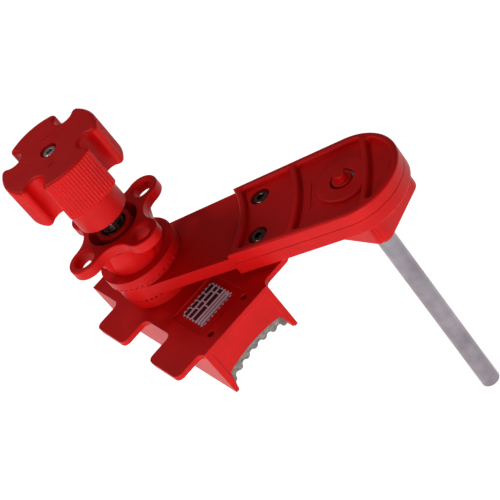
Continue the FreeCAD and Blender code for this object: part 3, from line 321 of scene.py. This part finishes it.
# %% Put the finishes on the CAD parts
FINISHES = {"red_nylon": red_nylon, "stamped_steel": stamped_zinc, "bright_steel": bright_zinc,
            "black_oxide_steel": black_oxide, "label_film": label_film}
SPECIAL = {"blocking_rod": rod_steel, "arm_housing": detail_nylon, "knob": detail_nylon}
for part in frame["record"]["subparts"]:
    piece = frame["nodes"][part["node"]]
    finish = SPECIAL.get(part["node"], FINISHES[part["material_slot"]])
    piece.data.materials.clear()
    piece.data.materials.append(finish)

# %% [markdown]
# ## Turned pieces
# Screws, bolts and the spindle are turned on a lathe, so one function makes them all: it goes
# round the axis at each of a list of levels and asks for a radius. A plain number gives a
# round level, and a function of the angle and the height gives a hexagonal socket or the
# ridges of a thread.

# %% A lathe
SHARP_ANGLE = math.radians(40)


def turned(name, levels, body, finish, centre=(0, 0), columns=64):
    """A closed solid from (height, radius) levels in millimetres, about a centre in metres."""
    points = []
    for height, radius in levels:
        for column in range(columns):
            angle = 2 * math.pi * column / columns
            reach = radius(angle, height) if callable(radius) else radius
            points.append((centre[0] + reach * math.cos(angle) * MM,
                           centre[1] + reach * math.sin(angle) * MM, height * MM))
    faces = [tuple(reversed(range(columns)))]
    for row in range(len(levels) - 1):
        for column in range(columns):
            after = (column + 1) % columns
            faces.append((row * columns + column, row * columns + after,
                          (row + 1) * columns + after, (row + 1) * columns + column))
    last = (len(levels) - 1) * columns
    faces.append(tuple(range(last, last + columns)))
    mesh = bpy.data.meshes.new(name)
    mesh.from_pydata(points, [], faces)
    for polygon in mesh.polygons:
        polygon.use_smooth = True
    mesh.set_sharp_from_angle(angle=SHARP_ANGLE)
    mesh.materials.append(finish)
    piece = bpy.data.objects.new(name, mesh)
    bpy.context.scene.collection.objects.link(piece)
    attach(piece, body)
    return piece


def hexagon(flats):
    """A function that gives the radius of a hexagon, of that width across flats, at an angle."""
    def radius(angle, height):
        turn = (angle + math.pi / 6) % (math.pi / 3) - math.pi / 6
        return flats / 2 / math.cos(turn)
    return radius


# %% [markdown]
# ## Spindle
# The spindle is a black screw with a two-start trapezoidal thread: it moves 4 mm for each turn
# of the knob, and its ridges stand 2 mm apart. The ridges show between the knob's skirt and
# the tube. The thread's depth at a point depends on how far that point is from the groove's
# helix, so a function of the angle and the height is enough to cut it: flat at the bottom of
# the groove, sloped up its flank, then flat along the ridge.

# %% Spindle with its thread
LEAD = 4.0
STARTS = 2
THREAD_DEPTH = 0.75
THREAD_STEP = 0.2
THREAD_TOP = 66.0
GROOVE_SHARE = 0.3
FLANK_SHARE = 0.35
RUN_IN = 0.8
PLAIN_FROM = 67.5
JOURNAL_RADIUS = 4.0
JOURNAL_CHAMFER = 0.3
JOURNAL_CLEARANCE = 0.2
COLLAR_RADIUS = 5.0
RIM = 0.4
spindle_low, spindle_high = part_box("spindle")
spindle_radius = (spindle_high.x - spindle_low.x) / 2 / MM
journal_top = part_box("jaw_carrier")[1].z / MM + JOURNAL_CLEARANCE


def thread(angle, height):
    """The spindle's radius at a point, between the groove's bottom and the ridge's top."""
    turns = height / LEAD - angle / (2 * math.pi)
    from_groove = abs((turns * STARTS) % 1 - 0.5) * 2
    rise = min(max((from_groove - GROOVE_SHARE) / FLANK_SHARE, 0), 1)
    return spindle_radius - THREAD_DEPTH * (1 - rise)


screw_levels = [(spindle_low.z / MM, JOURNAL_RADIUS - JOURNAL_CHAMFER),
                (spindle_low.z / MM + JOURNAL_CHAMFER, JOURNAL_RADIUS),
                (journal_top, JOURNAL_RADIUS), (journal_top, COLLAR_RADIUS),
                (journal_top + RUN_IN, spindle_radius - THREAD_DEPTH)]
count = round((THREAD_TOP - journal_top) / THREAD_STEP)
screw_levels += [(journal_top + RUN_IN + THREAD_STEP * n, thread) for n in range(count)]
screw_levels += [(PLAIN_FROM, spindle_radius), (spindle_high.z / MM - RIM, spindle_radius),
                 (spindle_high.z / MM, spindle_radius - RIM)]
spindle = turned("threaded_spindle", screw_levels, "knob", black_oxide)
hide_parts("spindle")
print("thread:", count, "levels over", round(count * THREAD_STEP), "mm")

# %% [markdown]
# ## Socket screws
# The screw in the top of the knob and the two black bolts in the arm have round heads with a
# hexagonal socket. Each stands exactly where its plain CAD part is, whose box gives its place.
# The two bolts are one CAD part, split at the middle of its box, so they replace it once.

# %% Screw and bolts with hexagonal sockets
EDGE_BREAK = 0.15
SCREW_COLUMNS = 72


def socket_screw(name, x, y, head_low, head_high, head, shank, tip, flats, depth, body, finish,
                 crown):
    """A socket screw, in millimetres. The crown is how far the head's rim is rounded down."""
    socket = hexagon(flats)
    levels = [(tip, shank - 0.3), (tip + 0.4, shank), (head_low, shank),
              (head_low, head - EDGE_BREAK), (head_low + EDGE_BREAK, head), (head_high - crown, head),
              (head_high - 0.45 * crown, head - 0.25 * crown),
              (head_high - 0.12 * crown, head - 0.65 * crown), (head_high, head - 1.1 * crown),
              (head_high, lambda a, h: socket(a, h) + EDGE_BREAK), (head_high - EDGE_BREAK, socket),
              (head_high - depth, socket), (head_high - depth - 0.5, 0.05)]
    return turned(name, levels, body, finish, (x * MM, y * MM), SCREW_COLUMNS)


KNOB_HEAD_HEIGHT = 5.2
BOLT_HEAD_HEIGHT = 3.6
screw_low, screw_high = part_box("knob_screw")
knob_screw = socket_screw("knob_socket_screw", 0, 0, screw_high.z / MM - KNOB_HEAD_HEIGHT,
                          screw_high.z / MM, head=3.7, shank=1.6, tip=screw_low.z / MM, flats=3.0,
                          depth=1.6, body="knob", finish=bright_zinc, crown=0.6)
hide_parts("knob_screw")

bolt_low, bolt_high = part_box("arm_bolts")
bolt_points = [v.co for v in frame["nodes"]["arm_bolts"].data.vertices]
middle = (bolt_low + bolt_high) / 2
for number in (1, 2):
    mine = [p for p in bolt_points if (p.y > middle.y) == (number == 2)]
    x = (min(p.x for p in mine) + max(p.x for p in mine)) / 2 / MM
    y = (min(p.y for p in mine) + max(p.y for p in mine)) / 2 / MM
    bolt = socket_screw("arm_socket_bolt_%d" % number, x, y, bolt_high.z / MM - BOLT_HEAD_HEIGHT,
                        bolt_high.z / MM, head=5.0, shank=2.5, tip=bolt_low.z / MM, flats=3.6,
                        depth=1.8, body="arm", finish=black_oxide, crown=1.6)
    if number == 1:
        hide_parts("arm_bolts")
    print("bolt at", round(x, 1), round(y, 1))

# %% [markdown]
# ## Floor, light and camera
# A white sheet lies under the object and glows, so faces that look down or sideways are bright
# and those that look up are darker. One large soft lamp stands low, between the front and the
# right side, and a wide fill stands near the camera. A small lamp above the knob catches its
# top, which the low lamp only grazes. The view transform is Standard, so that white is white
# and the red stays full.

# %% Floor
FLOOR_GAP = 1 * MM
FLOOR_HALF = 6.0
FIBRES = 30 * MM
FLOOR_GLOW = 0.84
floor_level = cad_box[0].z - FLOOR_GAP
floor_mesh = bpy.data.meshes.new("white_sheet")
corners = [(-FLOOR_HALF, -FLOOR_HALF), (FLOOR_HALF, -FLOOR_HALF),
           (FLOOR_HALF, FLOOR_HALF), (-FLOOR_HALF, FLOOR_HALF)]
floor_mesh.from_pydata([(x, y, floor_level) for x, y in corners], [], [(0, 1, 2, 3)])
floor = bpy.data.objects.new("white_sheet", floor_mesh)
bpy.context.scene.collection.objects.link(floor)
sheet, tree, shader, place = new_material("white paper sheet")
fibres = add(tree, "ShaderNodeTexNoise", {"Vector": place, "Scale": 1 / FIBRES, "Detail": 4.0})
tone = steps(tree, fibres.outputs["Fac"], [(0.3, "#f1f0f0"), (0.7, "#f5f4f4")])
tree.links.new(tone, shader.inputs["Base Color"])
shader.inputs["Roughness"].default_value = 0.9
shader.inputs["Emission Color"].default_value = (1, 1, 1, 1)
shader.inputs["Emission Strength"].default_value = FLOOR_GLOW
floor_mesh.materials.append(sheet)
print("floor at", round(floor_level / MM, 1), "mm")

# %% Light
WORLD_STRENGTH = 0.14
AIM = Vector((0.02, 0.04, 0.0))
world = bpy.data.worlds.new("studio")
bpy.context.scene.world = world
world.use_nodes = True
background = world.node_tree.nodes["Background"]
background.inputs["Color"].default_value = linear("#f4f2f4")
background.inputs["Strength"].default_value = WORLD_STRENGTH


def lamp(name, direction, distance, size, power):
    """A round soft lamp, in metres and watts, that looks at the middle of the object."""
    light = bpy.data.lights.new(name, "AREA")
    light.shape = "DISK"
    light.size = size
    light.energy = power
    holder = bpy.data.objects.new(name, light)
    bpy.context.scene.collection.objects.link(holder)
    holder.location = AIM + Vector(direction).normalized() * distance
    holder.rotation_euler = (holder.location - AIM).to_track_quat("Z", "Y").to_euler()
    return holder


lamps = [lamp("low_softbox", (0.72, -0.68, 0.02), distance=1.3, size=0.9, power=11.7),
         lamp("camera_fill", (0.85, -0.05, 0.45), distance=1.6, size=1.0, power=2),
         lamp("knob_light", (-0.45, -0.25, 1.0), distance=0.55, size=0.12, power=0.6)]
bpy.context.scene.view_settings.view_transform = "Standard"
print("lamps:", len(lamps), "world strength:", WORLD_STRENGTH)

# %% [markdown]
# The camera stands about 0.9 m away with a long lens, so the object looks as it does when held
# at arm's length and studied. It looks down on the knob from the front right and is rolled, so
# the spindle leans to the left and the rod runs down to the right. The three directions of its
# axes are squared up against each other before they are used.

# %% Camera
FOCAL_LENGTH = 124.2
EYE = Vector((0.7028, -0.1375, 0.4998))
backward = Vector((0.7816, -0.2032, 0.5897)).normalized()
rightward = Vector((0.5566, 0.6539, -0.5125))
rightward = (rightward - rightward.dot(backward) * backward).normalized()
upward = backward.cross(rightward)
lens = bpy.data.cameras.new("camera")
lens.lens = FOCAL_LENGTH
lens.sensor_width = 36
lens.clip_start = 0.01
lens.clip_end = 50
camera = bpy.data.objects.new("camera", lens)
bpy.context.scene.collection.objects.link(camera)
camera.matrix_world = Matrix(((rightward.x, upward.x, backward.x, EYE.x),
                              (rightward.y, upward.y, backward.y, EYE.y),
                              (rightward.z, upward.z, backward.z, EYE.z), (0, 0, 0, 1)))
bpy.context.scene.camera = camera
print("camera at", [round(v / MM) for v in EYE], "mm")
